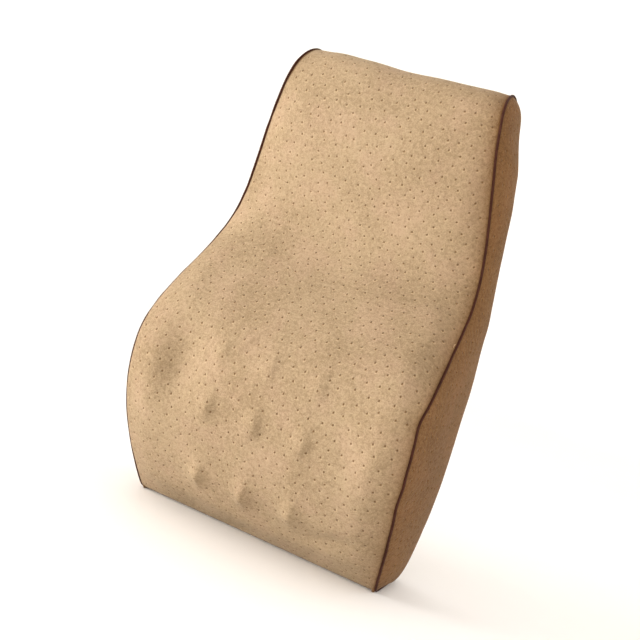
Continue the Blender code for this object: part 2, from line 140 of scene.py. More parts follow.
class CUSHION_PG_finish(bpy.types.PropertyGroup):
    """Colours of the cover, trim and zip."""
    suede: colour("Suede", "Lit nap", (0.343, 0.254, 0.155))
    suede_dark: colour("Suede, brushed back", "Nap brushed the other way", (0.211, 0.144, 0.081))
    # The side colours are painted shade: a darker, warmer copy of the suede, mixed onto the side panels,
    # beside the seams and over the upper right front.
    suede_side_shade: colour("Side suede", "Nap of the side panels, brushed down", (0.185, 0.095, 0.036))
    suede_side_shade_dark: colour("Side suede, dark", "Darker nap of the side panels", (0.098, 0.044, 0.014))
    # Painted shade inside each perforation, which has only a shallow dimple and no opening; the same colour
    # paints the shade where the cloth dives into a seam.
    hole: colour("Perforation", "Inside of a perforation", (0.120, 0.058, 0.021))
    piping: colour("Piping", "Dark brown piping", (0.046, 0.013, 0.006))
    thread: colour("Thread", "Sewing thread", (0.420, 0.280, 0.150))
    tape: colour("Zip tape", "Woven tape", (0.210, 0.130, 0.066))
    teeth: colour("Zip teeth", "Moulded teeth", (0.130, 0.075, 0.036))
    metal: colour("Zip metal", "Antique plating", (0.360, 0.270, 0.170))
    foam: colour("Foam", "Foam block", (0.800, 0.740, 0.560))
    liner: colour("Liner", "Knitted liner", (0.780, 0.770, 0.730))
    rubber: colour("Rubber", "Massage nubs", (0.045, 0.040, 0.038))
    paper: colour("Stage", "Floor and backdrop", (0.930, 0.925, 0.915))


def form():
    return bpy.context.scene.cushion_form


def cover():
    return bpy.context.scene.cushion_cover


def finish():
    return bpy.context.scene.cushion_finish


# Form ------------------------------------------------------------------------------------------------

def ease(low, high, share):
    """Half a cosine from low to high, flat at both ends."""
    return low + (high - low) * (1 - np.cos(np.pi * np.clip(share, 0, 1))) / 2


def smooth_step(low, high, value):
    """Cubic step from 0 at low to 1 at high, whichever is the greater."""
    share = np.clip((value - low) / (high - low), 0, 1)
    return share * share * (3 - 2 * share)


def front_depth(z):
    """Depth of the front below the head: a quarter sine out to the lumbar bulge, then cosine eases in to the
    waist and out to the head."""
    size = form()
    shoulder = size.height - size.head_depth / 2
    rise = np.sin(np.pi / 2 * np.clip(z / size.lumbar_height, 0, 1))
    lower = size.base_depth + (size.lumbar_depth - size.base_depth) * rise
    middle = ease(size.lumbar_depth, size.waist_depth,
                  (z - size.lumbar_height) / (size.waist_height - size.lumbar_height))
    upper = ease(size.waist_depth, size.head_depth, (z - size.waist_height) / (shoulder - size.waist_height))
    return np.where(z < size.lumbar_height, lower, np.where(z < size.waist_height, middle, upper))


def half_width(z):
    """Half the width between the seams: a quarter sine out to the widest height, a quarter cosine in to the
    crest."""
    size = form()
    rise = np.sin(np.pi / 2 * np.clip(z / size.widest_height, 0, 1))
    lower = size.base_width + (size.lumbar_width - size.base_width) * rise
    share = np.clip((z - size.widest_height) / (size.height - size.widest_height), 0, 1)
    fall = 1 - np.cos(np.pi / 2 * share)
    upper = size.lumbar_width - (size.lumbar_width - size.head_width) * fall
    return np.where(z < size.widest_height, lower, upper) / 2


def arc(center, radius, start, end, count=160):
    angle = np.linspace(start, end, count)
    return np.stack([center[0] + radius * np.cos(angle), center[1] + radius * np.sin(angle)], 1)


def line(start, end, count=240):
    return np.linspace(start, end, count)


def outline(low_gap, high_gap, corner_soften=0.0050):
    """Side outline as points (y, z): up the back from above the zip, over the head in a half circle, down the
    front along front_depth, under the base, round the back corner and up to below the zip. The sharp front
    corner is softened by a Gaussian average along the path. Returns distances along the path at even steps,
    the points there and their outward normals."""
    size = form()
    radius = size.head_depth / 2
    shoulder = size.height - radius
    z = np.linspace(shoulder, 0, 1200)
    pieces = [
        line((size.back, size.zip_height + high_gap), (size.back, shoulder)),
        arc((size.back - radius, shoulder), radius, 0, np.pi),
        np.stack([size.back - front_depth(z), z], 1),
        line((size.back - size.base_depth, 0), (size.back - size.back_corner, 0)),
        arc((size.back - size.back_corner, size.back_corner), size.back_corner, -np.pi / 2, 0),
        line((size.back, size.back_corner), (size.back, size.zip_height - low_gap)),
    ]
    path = np.concatenate([piece[1:] if number else piece for number, piece in enumerate(pieces)])
    length = np.concatenate([[0], np.cumsum(np.hypot(*np.diff(path, axis=0).T))])
    even = np.arange(0, length[-1], OUTLINE_STEP)
    even[-1] = length[-1]
    path = np.stack([np.interp(even, length, path[:, axis]) for axis in (0, 1)], 1)
    reach = int(4 * corner_soften / OUTLINE_STEP)
    weight = np.exp(-0.5 * (np.arange(-reach, reach + 1) * OUTLINE_STEP / corner_soften) ** 2)
    weight /= weight.sum()
    soft = np.stack([np.convolve(path[:, axis], weight, "same") for axis in (0, 1)], 1)
    soft[:reach], soft[-reach:] = path[:reach], path[-reach:]
    soft[:, 1] = np.maximum(soft[:, 1], 0.0)
    tangent = np.gradient(soft, axis=0)
    tangent /= np.hypot(*tangent.T)[:, None]
    normal = np.stack([tangent[:, 1], -tangent[:, 0]], 1)
    return even, soft, normal


def value_noise(u, v, scale, seed):
    """Smooth noise between -1 and 1: random values on a square lattice, blended by a cubic step."""
    spans = (97, 101)  # cells after which the noise repeats
    far = 1000.0  # keeps the cell numbers above zero
    table = np.random.default_rng(seed).uniform(-1, 1, spans)
    a, b = u / scale + far, v / scale + far
    i, j = np.floor(a).astype(int), np.floor(b).astype(int)
    p, q = a - i, b - j
    p, q = p * p * (3 - 2 * p), q * q * (3 - 2 * q)
    corner = [[table[(i + di) % spans[0], (j + dj) % spans[1]] for dj in (0, 1)] for di in (0, 1)]
    low = corner[0][0] * (1 - q) + corner[0][1] * q
    high = corner[1][0] * (1 - q) + corner[1][1] * q
    return low * (1 - p) + high * p


def hole_centres(u, v, seed):
    """Centre of the nearest perforation to each place: rows staggered by half a pitch, each hole strayed a
    little."""
    size = cover()
    spans = (211, 223)  # columns and rows after which the straying repeats
    stray = np.random.default_rng(seed).uniform(-0.21, 0.21, (2, *spans))
    row = np.floor(v / size.hole_row).astype(int)
    best = np.full(u.shape, np.inf)
    centre = np.zeros((2,) + u.shape)
    for down in (-1, 0, 1):
        line_number = row + down
        shift = 0.5 * (line_number % 2)
        column = np.floor(u / size.hole_pitch - shift).astype(int)
        for along in (-1, 0, 1):
            place = column + along
            du, dv = stray[:, place % spans[0], line_number % spans[1]]
            hole_u = (place + 0.5 + shift + du) * size.hole_pitch
            hole_v = (line_number + 0.5 + dv) * size.hole_row
            distance = np.hypot(hole_u - u, hole_v - v)
            near = distance < best
            best = np.where(near, distance, best)
            centre = np.where(near, np.stack([hole_u, hole_v]), centre)
    return centre


def punch(u, v, seed, margin):
    """Perforations at places on the cloth: the offset of each place from its nearest hole, with a third part
    that grows away from the hole so that no other hole's offset can cancel it, and the depth of the dimple
    there, a Gaussian of the distance."""
    size = cover()
    offset = np.stack([u, v]) - hole_centres(u, v, seed)
    distance = np.hypot(*offset)
    apart = np.where(margin, 4 * np.maximum(distance - 2.7 * size.hole_radius, 0), NO_HOLE)
    depth = -size.hole_depth * np.exp(-(distance / (0.9 * size.hole_radius)) ** 2) * margin
    return np.stack([*offset, apart], -1), depth


def nub_places():
    """Where each nub presses, as (x, z, row, column), rows counted from the lowest."""
    places = []
    for row in range(1, NUB_ROWS + 1):
        for column in range(1, NUB_COLUMNS + 1):
            low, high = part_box(f"massage_nub_{row}_{column}")
            places.append(((low[0] + high[0]) / 2, (low[2] + high[2]) / 2, row, column))
    return places


# Mesh helpers ----------------------------------------------------------------------------------------

def quads(rows, columns, start=0, flip=False):
    """Corner numbers of the faces of a grid of points numbered row by row."""
    first = start + (np.arange(rows - 1)[:, None] * columns + np.arange(columns - 1)).reshape(-1, 1)
    face = first + np.array([[0, 1, columns + 1, columns]])
    return face[:, ::-1] if flip else face


def cloth_faces(rows, columns, block):
    """Faces of a sheet of cloth as a closed shell: the fine outer grid, an inner grid that has every block-th
    column of it, strips that join their sides, and fans that join their first and last rows."""
    blocks = columns // block
    inner_columns = blocks + 1
    first = rows * columns
    a, b = np.arange(rows - 1), np.arange(1, rows)
    inner_a, inner_b = first + a * inner_columns, first + b * inner_columns
    last = columns - 1
    left = np.stack([a * columns, b * columns, inner_b, inner_a], 1)
    right = np.stack([b * columns + last, a * columns + last, inner_a + blocks, inner_b + blocks], 1)
    ends = []
    for row, flip in ((0, False), (rows - 1, True)):
        outer = row * columns
        inner = first + row * inner_columns
        k, n = np.arange(last), np.arange(blocks)
        fan = np.stack([outer + k + 1, outer + k, inner + k // block], 1)
        close = np.stack([outer + (n + 1) * block, inner + n, inner + n + 1], 1)
        both = np.concatenate([fan, close])
        ends.append(both[:, ::-1] if flip else both)
    return [quads(rows, columns), quads(rows, inner_columns, first, flip=True), left, right, *ends]


def new_mesh(name, points, faces, corner_uv=None, attributes=None):
    """A mesh from point coordinates and arrays of faces with equal or different corner counts."""
    mesh = bpy.data.meshes.new(name)
    mesh.vertices.add(len(points))
    mesh.vertices.foreach_set("co", np.ascontiguousarray(points, dtype=np.float32).ravel())
    loops = np.concatenate([block.ravel() for block in faces])
    totals = np.concatenate([np.full(len(block), block.shape[1]) for block in faces])
    mesh.loops.add(len(loops))
    mesh.loops.foreach_set("vertex_index", loops.astype(np.int32))
    mesh.polygons.add(len(totals))
    mesh.polygons.foreach_set("loop_start", np.concatenate([[0], np.cumsum(totals)[:-1]]).astype(np.int32))
    mesh.update(calc_edges=True)
    for key, values in (attributes or {}).items():
        kind = "FLOAT_VECTOR" if values.ndim == 2 else "FLOAT"
        layer = mesh.attributes.new(key, kind, "POINT")
        layer.data.foreach_set("vector" if values.ndim == 2 else "value", values.astype(np.float32).ravel())
    if corner_uv is not None:
        layer = mesh.uv_layers.new(name="cloth")
        layer.data.foreach_set("uv", corner_uv[loops].astype(np.float32).ravel())
    mesh.shade_smooth()
    mesh.validate()
    return mesh


def add_piece(name, mesh, material, nodes=()):
    """An object that rides with the cushion and stands for nodes of the frame."""
    piece = bpy.data.objects.new(name, mesh)
    bpy.context.scene.collection.objects.link(piece)
    mesh.materials.append(material)
    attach(piece, BODY)
    if nodes:
        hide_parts(*nodes)
    return piece


def tube(path, radius, sides=12, closed=True, across=None):
    """A round section carried along a path: each ring is centre + radius * (cos a * side + sin a * up), where
    side and up stand square to the path's direction."""
    ahead = np.roll(path, -1, 0) - np.roll(path, 1, 0) if closed else np.gradient(path, axis=0)
    ahead /= np.linalg.norm(ahead, axis=1)[:, None]
    side = np.cross(ahead, across if across is not None else np.array([1.0, 0.0, 0.0]))
    side /= np.linalg.norm(side, axis=1)[:, None]
    up = np.cross(side, ahead)
    angle = np.linspace(0, 2 * np.pi, sides, endpoint=False)
    ring = np.cos(angle)[None, :, None] * side[:, None] + np.sin(angle)[None, :, None] * up[:, None]
    radius = np.broadcast_to(radius, (len(path),))[:, None, None]
    points = path[:, None] + radius * ring
    count = len(path)
    steps = count if closed else count - 1
    a = np.arange(steps)[:, None] * sides + np.arange(sides)
    b = np.arange(steps)[:, None] * sides + (np.arange(sides) + 1) % sides
    c, d = (b + sides) % (count * sides), (a + sides) % (count * sides)
    faces = np.stack([a, d, c, b], -1).reshape(-1, 4)
    return points.reshape(-1, 3), faces


# Materials -------------------------------------------------------------------------------------------

class Sheet:
    """Short hand for adding and linking the nodes of one tree."""

    def __init__(self, tree):
        self.tree = tree

    def add(self, kind, **values):
        node = self.tree.nodes.new(kind)
        for key, value in values.items():
            setattr(node, key, value)
        return node

    def link(self, source, target):
        self.tree.links.new(source, target)

    def maths(self, operation, first, second=0.0, third=None):
        node = self.add("ShaderNodeMath", operation=operation)
        for slot, value in zip(node.inputs, (first, second, third)):
            self.feed(slot, value)
        return node.outputs[0]

    def feed(self, slot, value):
        if isinstance(value, bpy.types.NodeSocket):
            self.link(value, slot)
        elif value is not None:
            slot.default_value = value

    def noise(self, vector, scale, detail=2.0, roughness=0.5):
        node = self.add("ShaderNodeTexNoise")
        self.link(vector, node.inputs["Vector"])
        node.inputs["Scale"].default_value = scale
        node.inputs["Detail"].default_value = detail
        node.inputs["Roughness"].default_value = roughness
        return node.outputs["Fac"]

    def band(self, value, low, high, start=0.0, end=1.0):
        """Smooth step from start at low to end at high."""
        node = self.add("ShaderNodeMapRange", interpolation_type="SMOOTHSTEP")
        inputs = {"Value": value, "From Min": low, "From Max": high, "To Min": start, "To Max": end}
        for key, item in inputs.items():
            self.feed(node.inputs[key], item)
        return node.outputs["Result"]

    def mix(self, share, first, second, blend="MIX"):
        node = self.add("ShaderNodeMix", data_type="RGBA", blend_type=blend)
        self.feed(node.inputs["Factor"], share)
        self.feed(node.inputs["A"], first)
        self.feed(node.inputs["B"], second)
        return node.outputs["Result"]


def rgba(value):
    return (*value, 1.0)


def group_sockets(group, inputs, outputs):
    for name, kind in inputs:
        group.interface.new_socket(name=name, in_out="INPUT", socket_type=kind)
    for name, kind in outputs:
        group.interface.new_socket(name=name, in_out="OUTPUT", socket_type=kind)


def nap_group():
    """Suede nap: broad patches brushed one way or the other, fine clumps like a pebbled grain, and fibres.
    The height has the same clumps and fibres, for the bump."""
    name = "suede_nap"
    if name in bpy.data.node_groups:
        return bpy.data.node_groups[name]
    group = bpy.data.node_groups.new(name, "ShaderNodeTree")
    vector, colour_kind, value = "NodeSocketVector", "NodeSocketColor", "NodeSocketFloat"
    group_sockets(group, [("Place", vector), ("Light", colour_kind), ("Dark", colour_kind)],
                  [("Color", colour_kind), ("Roughness", value), ("Height", value)])
    sheet = Sheet(group)
    source = sheet.add("NodeGroupInput")
    target = sheet.add("NodeGroupOutput")
    place = source.outputs["Place"]
    patches = sheet.noise(place, 17.0, 3.0, 0.55)
    clumps = sheet.noise(place, 290.0, 2.0, 0.6)
    fibres = sheet.noise(place, 800.0, 2.0, 0.7)
    share = sheet.maths("MULTIPLY_ADD", patches, 0.60, sheet.maths("MULTIPLY_ADD", clumps, 0.85, -0.25))
    share = sheet.maths("MULTIPLY_ADD", fibres, 1.10, sheet.maths("ADD", share, -0.53))
    blend = sheet.mix(sheet.band(share, 0.05, 0.85), source.outputs["Dark"], source.outputs["Light"])
    warm = sheet.noise(place, 34.0, 2.0, 0.5)
    pink = sheet.mix(1.0, blend, (1.015, 0.985, 1.02, 1.0), blend="MULTIPLY")
    sheet.link(sheet.mix(sheet.band(warm, 0.42, 0.70), blend, pink), target.inputs["Color"])
    sheet.link(sheet.band(clumps, 0.2, 0.8, 0.96, 0.86), target.inputs["Roughness"])
    height = sheet.maths("MULTIPLY_ADD", fibres, 0.55, sheet.maths("MULTIPLY", clumps, 1.3))
    sheet.link(height, target.inputs["Height"])
    return group


def new_material(name):
    material = bpy.data.materials.new(name)
    material.use_nodes = True
    sheet = Sheet(material.node_tree)
    shader = material.node_tree.nodes["Principled BSDF"]
    return material, sheet, shader


def use_group(sheet, group, **values):
    node = sheet.add("ShaderNodeGroup")
    node.node_tree = group
    for key, value in values.items():
        sheet.feed(node.inputs[key], value)
    return node


def bump(sheet, shader, height, distance, strength=1.0):
    node = sheet.add("ShaderNodeBump")
    node.inputs["Distance"].default_value = distance
    node.inputs["Strength"].default_value = strength
    sheet.link(height, node.inputs["Height"])
    sheet.link(node.outputs["Normal"], shader.inputs["Normal"])


def suede_material():
    """Napped suede with a dimple at each perforation, its core painted with shade and its lip with a painted
    highlight on one side;
    painted shade where the cloth dives into a seam; and a darker, warmer painted shade colour beside the
    seams, over the upper right front and on the side panels."""
    if "perforated_suede" in bpy.data.materials:
        return bpy.data.materials["perforated_suede"]
    material, sheet, shader = new_material("perforated_suede")
    tint = finish()
    place = sheet.add("ShaderNodeTexCoord").outputs["Object"]
    # Painted shade: a darker, warmer copy of the suede is mixed in by this attribute on the side panels,
    # beside the seams and over the upper right front.
    painted_shade = sheet.add("ShaderNodeAttribute", attribute_name="painted_shade").outputs["Fac"]
    light = sheet.mix(painted_shade, rgba(tint.suede), rgba(tint.suede_side_shade))
    dark = sheet.mix(painted_shade, rgba(tint.suede_dark), rgba(tint.suede_side_shade_dark))
    nap = use_group(sheet, nap_group(), Place=place, Light=light, Dark=dark)
    offset = sheet.add("ShaderNodeAttribute", attribute_name="hole").outputs["Vector"]
    length = sheet.add("ShaderNodeVectorMath", operation="LENGTH")
    sheet.link(offset, length.inputs[0])
    distance = length.outputs["Value"]
    radius = cover().hole_radius
    core = sheet.band(distance, 0.35 * radius, 1.00 * radius, 1.0, 0.0)
    # Painted highlight: a lighter lip on one fixed side of each dimple, where light from the left would catch
    # its far rim.
    across = sheet.add("ShaderNodeVectorMath", operation="DOT_PRODUCT")
    sheet.link(offset, across.inputs[0])
    across.inputs[1].default_value = (0.75, 0.65, 0.0)
    far_side = sheet.band(across.outputs["Value"], -0.3 * radius, 0.9 * radius)
    ring = sheet.maths("MULTIPLY", sheet.band(distance, 0.6 * radius, 1.1 * radius),
                       sheet.band(distance, 1.4 * radius, 2.2 * radius, 1.0, 0.0))
    lip = sheet.maths("MULTIPLY", ring, far_side)
    lip_highlight = sheet.mix(1.0, nap.outputs["Color"], (1.25, 1.25, 1.24, 1.0), blend="MULTIPLY")
    lit = sheet.mix(lip, nap.outputs["Color"], lip_highlight)
    # painted shade in the core of each perforation
    holed = sheet.mix(sheet.maths("MULTIPLY", core, 0.85), lit, rgba(tint.hole))
    # painted shade where the cloth dives into a seam, in the perforations' colour
    seam = sheet.add("ShaderNodeAttribute", attribute_name="seam").outputs["Fac"]
    seam_painted_shade = sheet.mix(sheet.band(seam, 0.0, 0.0035, 0.6, 0.0), holed, rgba(tint.hole))
    sheet.link(seam_painted_shade, shader.inputs["Base Color"])
    sheet.link(nap.outputs["Roughness"], shader.inputs["Roughness"])
    dimple = sheet.band(distance, 0.2 * radius, 1.4 * radius, 1.0, 0.0)
    height = sheet.maths("MULTIPLY_ADD", dimple, -1.4, nap.outputs["Height"])
    bump(sheet, shader, height, 0.00065, 1.0)
    shader.inputs["Sheen Weight"].default_value = 0.10
    shader.inputs["Sheen Roughness"].default_value = 0.5
    shader.inputs["Sheen Tint"].default_value = (1.0, 0.82, 0.62, 1.0)
    shader.inputs["Specular IOR Level"].default_value = 0.10
    return material


def plain_material(name, tint, roughness, grain_scale, grain, metallic=0.0, bump_distance=0.0001):
    """One colour with a mottled grain that also varies the roughness and the bump."""
    if name in bpy.data.materials:
        return bpy.data.materials[name]
    material, sheet, shader = new_material(name)
    place = sheet.add("ShaderNodeTexCoord").outputs["Object"]
    coarse = sheet.noise(place, grain_scale / 8, 3.0)
    fine = sheet.noise(place, grain_scale, 2.0)
    share = sheet.maths("MULTIPLY_ADD", coarse, 0.6, sheet.maths("MULTIPLY", fine, 0.4))
    darker = rgba([part * (1 - grain) for part in tint])
    lighter = rgba([min(part * (1 + grain), 1.0) for part in tint])
    sheet.link(sheet.mix(sheet.band(share, 0.3, 0.7), darker, lighter), shader.inputs["Base Color"])
    sheet.link(sheet.band(share, 0.2, 0.8, roughness + 0.06, roughness - 0.06), shader.inputs["Roughness"])
    bump(sheet, shader, fine, bump_distance, 0.6)
    shader.inputs["Metallic"].default_value = metallic
    return material


def thread_material():
    return plain_material("thread", finish().thread, 0.7, 900.0, 0.15)


def piping_material():
    """Bias-cut piping: a twill that winds round the cord, with painted shade in its furrows and painted light
    on its ridges, and a dull top that shows wear.
    """
    if "piping_twill" in bpy.data.materials:
        return bpy.data.materials["piping_twill"]
    material, sheet, shader = new_material("piping_twill")
    tint = finish()
    uv = sheet.add("ShaderNodeTexCoord").outputs["UV"]
    split = sheet.add("ShaderNodeSeparateXYZ")
    sheet.link(uv, split.inputs[0])
    along = sheet.maths("MULTIPLY", split.outputs["X"], 2 * math.pi / 0.0012)
    wound = sheet.maths("MULTIPLY_ADD", split.outputs["Y"], 2 * math.pi * 5, along)
    ridge = sheet.maths("MULTIPLY_ADD", sheet.maths("SINE", wound), 0.5, 0.5)
    place = sheet.add("ShaderNodeTexCoord").outputs["Object"]
    wear = sheet.noise(place, 160.0, 3.0)
    # painted shade in the furrows of the twill and painted light on its ridges, more where the noise marks
    # wear
    dark = rgba([part * 0.6 for part in tint.piping])
    light = rgba([part * 1.6 for part in tint.piping])
    share = sheet.maths("MULTIPLY", ridge, sheet.band(wear, 0.25, 0.75, 0.3, 1.0))
    sheet.link(sheet.mix(share, dark, light), shader.inputs["Base Color"])
    sheet.link(sheet.band(wear, 0.2, 0.8, 0.75, 0.55), shader.inputs["Roughness"])
    bump(sheet, shader, ridge, 0.00012, 0.8)
    shader.inputs["Specular IOR Level"].default_value = 0.12
    return material


def weave_material():
    """Zip tape: a herringbone of two slanting ribs, one each way in alternate stripes."""
    if "tape_weave" in bpy.data.materials:
        return bpy.data.materials["tape_weave"]
    material, sheet, shader = new_material("tape_weave")
    tint = finish().tape
    split = sheet.add("ShaderNodeSeparateXYZ")
    sheet.link(sheet.add("ShaderNodeTexCoord").outputs["Object"], split.inputs[0])
    stripe = sheet.maths("PINGPONG", sheet.maths("MULTIPLY", split.outputs["Z"], 1000.0), 1.0)
    along = sheet.maths("MULTIPLY", split.outputs["X"], 2 * math.pi / 0.0009)
    rib = sheet.maths("SINE", sheet.maths("MULTIPLY_ADD", stripe, 5.0, along))
    height = sheet.maths("MULTIPLY_ADD", rib, 0.5, 0.5)
    # painted shade in the grooves between the ribs
    dark = rgba([part * 0.65 for part in tint])
    sheet.link(sheet.mix(height, dark, rgba(tint)), shader.inputs["Base Color"])
    sheet.link(sheet.band(height, 0.0, 1.0, 0.95, 0.8), shader.inputs["Roughness"])
    bump(sheet, shader, height, 0.00015, 0.8)
    return material


# Cover -----------------------------------------------------------------------------------------------

def bell(offset, width):
    """Gaussian of an offset, 1 at its middle."""
    return np.exp(-0.5 * (offset / width) ** 2)


def wrinkle(u, v, start, end, width):
    """A soft ridge along a straight run on the cloth: a Gaussian across it that fades in and out along it."""
    start, end = np.array(start), np.array(end)
    run = end - start
    length = np.hypot(*run)
    along = ((u - start[0]) * run[0] + (v - start[1]) * run[1]) / length
    across = ((v - start[1]) * run[0] - (u - start[0]) * run[1]) / length
    fade = np.sin(np.pi * np.clip(along / length, 0, 1)) ** 1.5
    return fade * bell(across, width)


def front_relief(x, z, facing):
    """How far the front stands proud of the straight form: wings beside the lumbar hollow, a slope down on
    its left, the nubs, each with a skirt where the cover is drawn up over it, and the creases."""
    size = cover()
    edge = np.abs(x) / half_width(z)
    zone = bell(z - 0.165, 0.075)  # the height of the lumbar hollow and its spread
    wing = bell(edge - 0.84, 0.10)
    hollow = 1 - smooth_step(0.34, 0.82, edge)
    slope = bell(edge - 0.60, 0.09) * bell(z - 0.150, 0.022) * (x < 0)
    relief = zone * (0.0032 * wing - size.dish * hollow * 0.65) - 0.0072 * slope
    for nub_x, nub_z, row, column in nub_places():
        strength = ROW_STRENGTH[row - 1] * COLUMN_STRENGTH[column - 1]
        aside = x - nub_x
        above = z - nub_z - 0.003
        bump_width = np.where(aside > 0, 0.0040, 0.0066)  # each bump is steeper on its right
        relief = relief + strength * bell(aside, bump_width) * bell(above, 0.0074)
        relief = relief + 0.30 * strength * bell(aside, 0.017) * bell(above, 0.020)
    for height, start, end, width in CREASES:
        relief = relief + height * wrinkle(x, z, start, end, width)
    return relief * facing


def settle(points):
    """Draw the cover in a little at two places on the right front seam, where the sewing changed
    direction."""
    x, y, z = points[..., 0], points[..., 1], points[..., 2]
    across = (half_width(z) - x) / 0.030
    behind = (y - form().back + front_depth(z)) / 0.030
    near = np.exp(-across ** 2 - behind ** 2)
    pull = 0.0022 * np.exp(-((z - 0.172) / 0.013) ** 2) + 0.0010 * np.exp(-((z - 0.097) / 0.010) ** 2)
    points[..., 0] = x - pull * near
    return points


def tuck(seam):
    """How deep the cloth is drawn in at a distance from a seam."""
    return TUCK * np.clip(1 - seam / TUCK_REACH, 0, 1) ** 2


def seam_pucker(distance, along, seed):
    """Small gathers beside a seam: noise along the seam that dies away from it."""
    wave = value_noise(along, distance * 0 + seed, 0.011, seed)
    wave = wave + 0.6 * value_noise(along, distance * 0, 0.023, seed + 1)
    return 0.00045 * wave * np.exp(-distance / 0.009)


def rest_skin():
    """The cover as one closed skin without any swell: rings of the outline at even widths, capped at the
    sides and remeshed into even cells."""
    _, path, _ = outline(OUTLINE_GAP, 0.0)
    count, spans = 240, 40
    ring = path[np.linspace(0, len(path) - 1, count).astype(int)]
    share = np.linspace(-1, 1, spans + 1)
    x = share[:, None] * half_width(ring[:, 1])
    points = np.stack([x, *(np.tile(ring[:, axis], (spans + 1, 1)) for axis in (0, 1))], -1)
    start = np.arange(spans)[:, None] * count
    first = (start + np.arange(count)).reshape(-1, 1)
    turn = (start + (np.arange(count) + 1) % count).reshape(-1, 1)
    sides = np.concatenate([first, turn, turn + count, first + count], 1)
    caps = [np.arange(count)[None, ::-1], spans * count + np.arange(count)[None]]
    mesh = new_mesh("skin", points.reshape(-1, 3), [sides, *caps])
    skin = bpy.data.objects.new("skin", mesh)
    bpy.context.scene.collection.objects.link(skin)
    remesh = skin.modifiers.new("cells", "REMESH")
    remesh.mode = "VOXEL"
    remesh.voxel_size = cover().cell
    even = bpy.data.meshes.new_from_object(skin.evaluated_get(bpy.context.evaluated_depsgraph_get()))
    skin.modifiers.clear()
    skin.data = even
    bpy.data.meshes.remove(mesh)
    return skin


def seam_distances(points):
    """Distance of points of the skin from the nearer side seam."""
    _, path, _ = outline(OUTLINE_GAP, 0.0)
    path = path[::4]
    inward = half_width(points[:, 2]) - np.abs(points[:, 0])
    away = np.empty(len(points))
    batch = 4000
    for start in range(0, len(points), batch):
        reach = points[start:start + batch, None, 1:] - path[None]
        away[start:start + batch] = np.sqrt((reach ** 2).sum(-1)).min(1)
    return np.hypot(inward, away)


@lru_cache(maxsize=None)
def simulated_skin():
    """Blow the skin up as cloth, held along the side seams, the zip and the base. Returns a tree of the
    skin's points at rest and each point's rise, as a share of the most that a point may rise."""
    size = cover()
    skin = rest_skin()
    mesh = skin.data
    rest = np.empty(len(mesh.vertices) * 3, dtype=np.float32)
    mesh.vertices.foreach_get("co", rest)
    rest = rest.reshape(-1, 3).astype(float)
    on_zip = (rest[:, 1] > form().back - 0.003) & (np.abs(rest[:, 2] - form().zip_height) < 0.012)
    held = (seam_distances(rest) < 0.8 * size.cell) | on_zip | (rest[:, 2] < 0.002)
    pins = skin.vertex_groups.new(name="pins")
    pins.add(np.nonzero(held)[0].tolist(), 1.0, "REPLACE")
    cloth = skin.modifiers.new("Cloth", "CLOTH")
    settings = cloth.settings
    settings.quality = 5
    settings.vertex_group_mass = "pins"
    settings.use_pressure = True
    settings.uniform_pressure_force = 4.0
    settings.tension_stiffness = 12.0
    settings.compression_stiffness = 12.0
    settings.shear_stiffness = 5.0
    settings.bending_stiffness = 0.08
    settings.shrink_min = -0.035
    settings.effector_weights.gravity = 0.0
    cloth.collision_settings.use_collision = False
    last_frame = 20
    cloth.point_cache.frame_start, cloth.point_cache.frame_end = 1, last_frame
    for frame_number in range(1, last_frame + 1):
        bpy.context.scene.frame_set(frame_number)
    blown = skin.evaluated_get(bpy.context.evaluated_depsgraph_get())
    after = np.empty(len(rest) * 3, dtype=np.float32)
    blown.data.vertices.foreach_get("co", after)
    outward = np.empty(len(rest) * 3, dtype=np.float32)
    mesh.vertices.foreach_get("normal", outward)
    rise = ((after.reshape(-1, 3) - rest) * outward.reshape(-1, 3)).sum(1)
    rise = np.tanh(np.maximum(rise, 0) / size.cap)
    bpy.context.scene.frame_set(1)
    bpy.data.objects.remove(skin)
    bpy.data.meshes.remove(mesh)
    tree = KDTree(len(rest))
    for number, point in enumerate(rest):
        tree.insert(point, number)
    tree.balance()
    return tree, rise


def swell_share(grid, seam, reach):
    """Share of the full swell at each point of a grid. By formula it leaves the seam steeply and levels off
    within the reach. A simulated skin is read at every fourth point, evened out and mixed with the formula.
    """
    plain = 1 - np.exp(-seam / reach)
    if simulated_skin() is None:
        return plain
    tree, rise = simulated_skin()
    rows, columns = (np.unique(np.append(np.arange(0, count, 4), count - 1)) for count in grid.shape[:2])
    read = np.empty((len(rows), len(columns)))
    for i, row in enumerate(rows):
        for j, column in enumerate(columns):
            near = tree.find_n(grid[row, column], 5)
            weight = np.array([1 / (distance + 0.001) ** 2 for _, _, distance in near])
            read[i, j] = (weight * rise[[number for _, number, _ in near]]).sum() / weight.sum()
    for _ in range(2):
        soft = np.pad(read, 1, mode="edge")
        read = (2 * read + soft[:-2, 1:-1] + soft[2:, 1:-1] + soft[1:-1, :-2] + soft[1:-1, 2:]) / 6
    wide = np.stack([np.interp(np.arange(grid.shape[1]), columns, line) for line in read])
    full = np.stack([np.interp(np.arange(grid.shape[0]), rows, line) for line in wide.T], 1)
    mixed = SIMULATED_SHARE * full + (1 - SIMULATED_SHARE) * plain
    return mixed * (1 - np.exp(-seam / 0.002))


